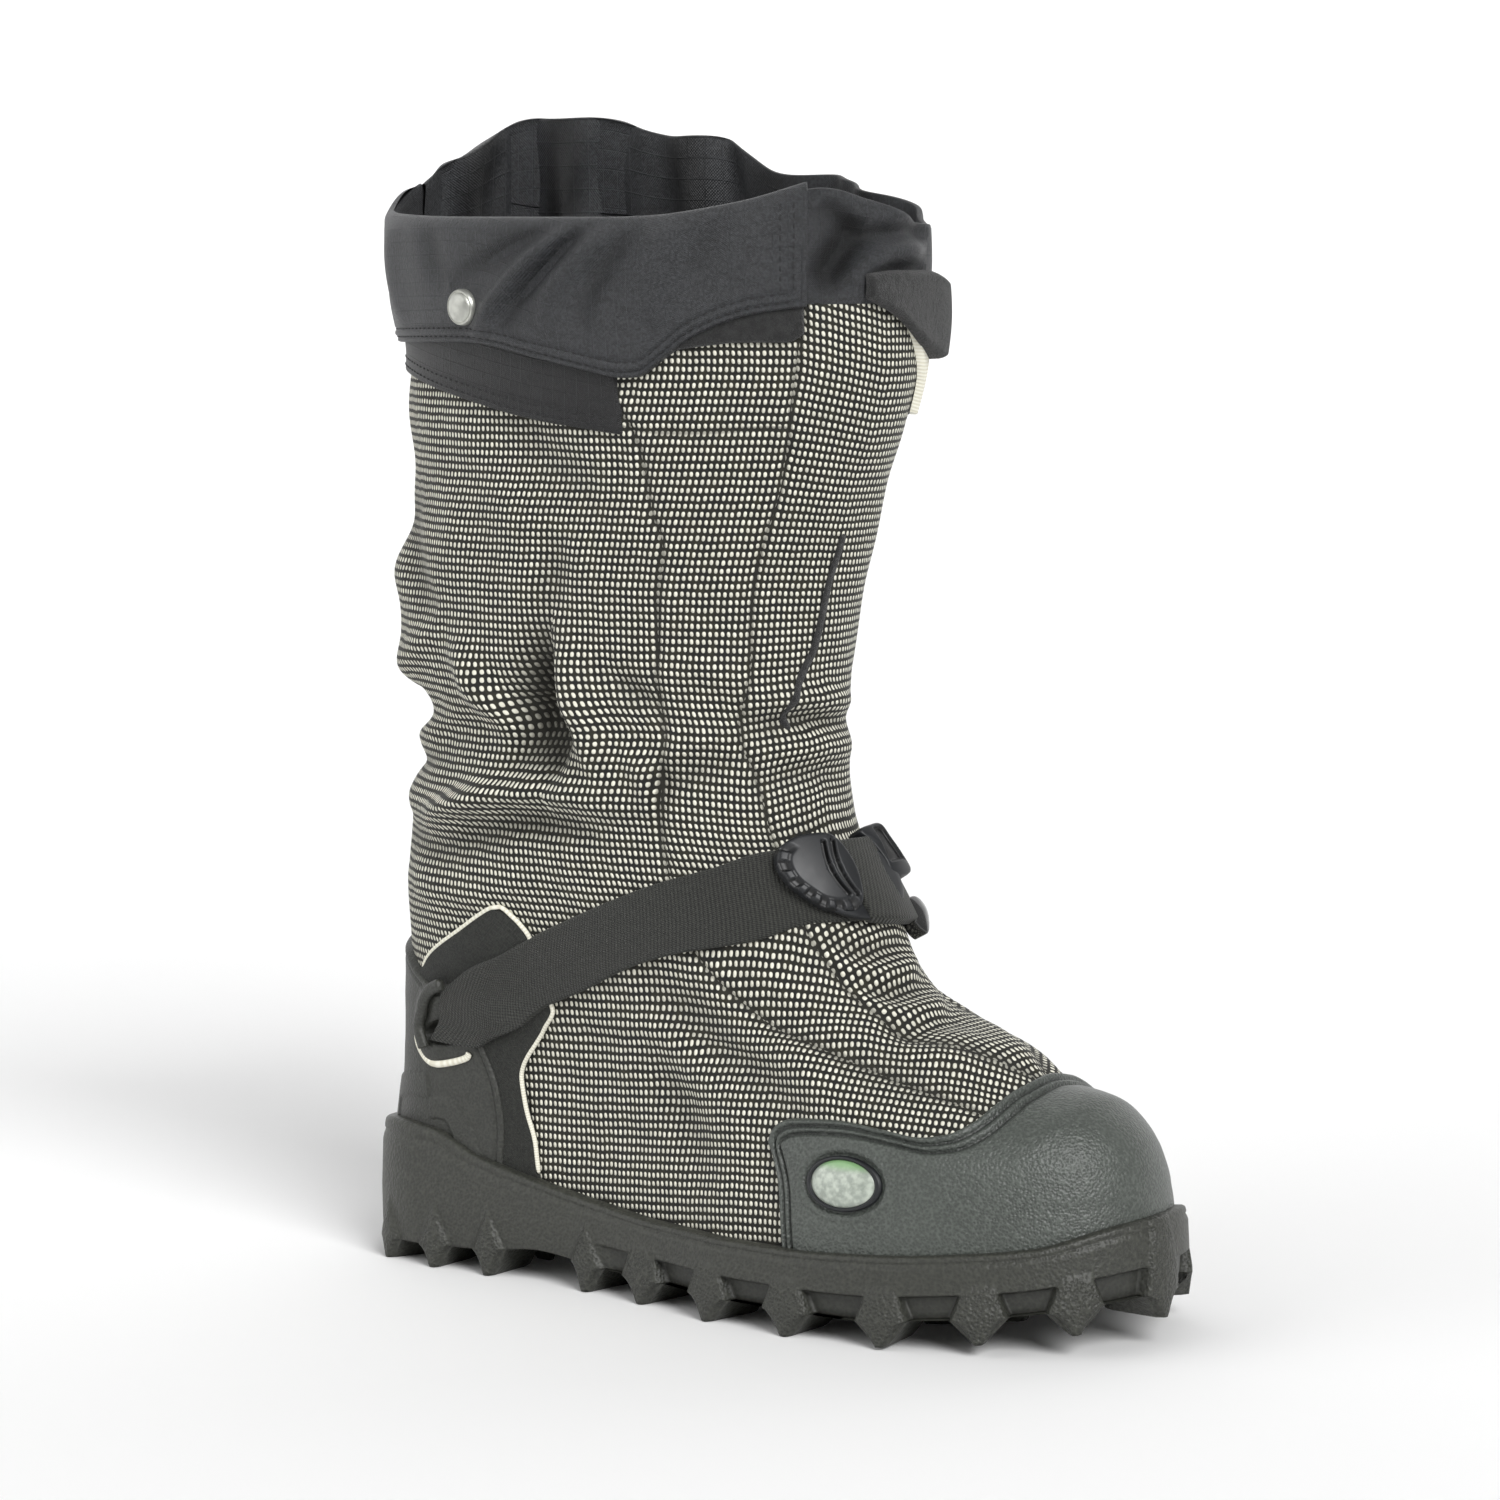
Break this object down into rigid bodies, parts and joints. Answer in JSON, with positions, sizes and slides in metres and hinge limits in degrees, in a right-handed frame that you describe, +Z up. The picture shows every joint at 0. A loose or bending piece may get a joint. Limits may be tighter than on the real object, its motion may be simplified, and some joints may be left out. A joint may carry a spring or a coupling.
{
  "type": "winter overshoe",
  "caption": "Tall right-foot winter overshoe: lugged rubber cup sole, woven shaft, nylon collar, rubber toe cap and heel counter, instep strap with buckle.",
  "frame": {"origin": "on the floor under the middle of the shoe's bounding box", "axes": "+X towards the toe, +Y towards the wearer's inner side, +Z up"},
  "size_m": [0.3207, 0.1338, 0.4036],
  "materials": {
    "outsole": "matte moulded black-grey rubber",
    "insole": "dark felted footbed",
    "upper": "coarse woven cloth, off-white dots on a dark ground",
    "collar": "black ripstop nylon",
    "fuzzy": "black hook-and-loop pile",
    "cream": "cream edge tape",
    "rubber": "black pebbled rubber with a soft sheen",
    "heel": "matte black moulded rubber",
    "webbing": "black ribbed elastic webbing",
    "plastic": "black satin plastic",
    "snap": "grey satin metal",
    "badge": "pale silver-green glossy dome"
  },
  "bodies": {
    "root": {"outsole": "outsole", "insole": "insole", "upper": "upper", "collar": "collar", "collar_band": "collar", "collar_flap": "collar", "hook_strip": "fuzzy", "front_tab": "fuzzy", "edge_tape": "cream", "toe_cap": "rubber", "heel_counter": "heel", "heel_patch_outer": "collar", "heel_patch_inner": "collar", "strap": "webbing", "strap_inner": "webbing", "strap_loop_outer": "heel", "strap_loop_inner": "heel", "buckle_base": "plastic", "buckle_tab": "plastic", "strap_keeper": "plastic", "strap_hook": "plastic", "snap_cap": "snap", "badge_rim": "plastic", "badge_dome": "badge"}
  },
  "joints": []
}
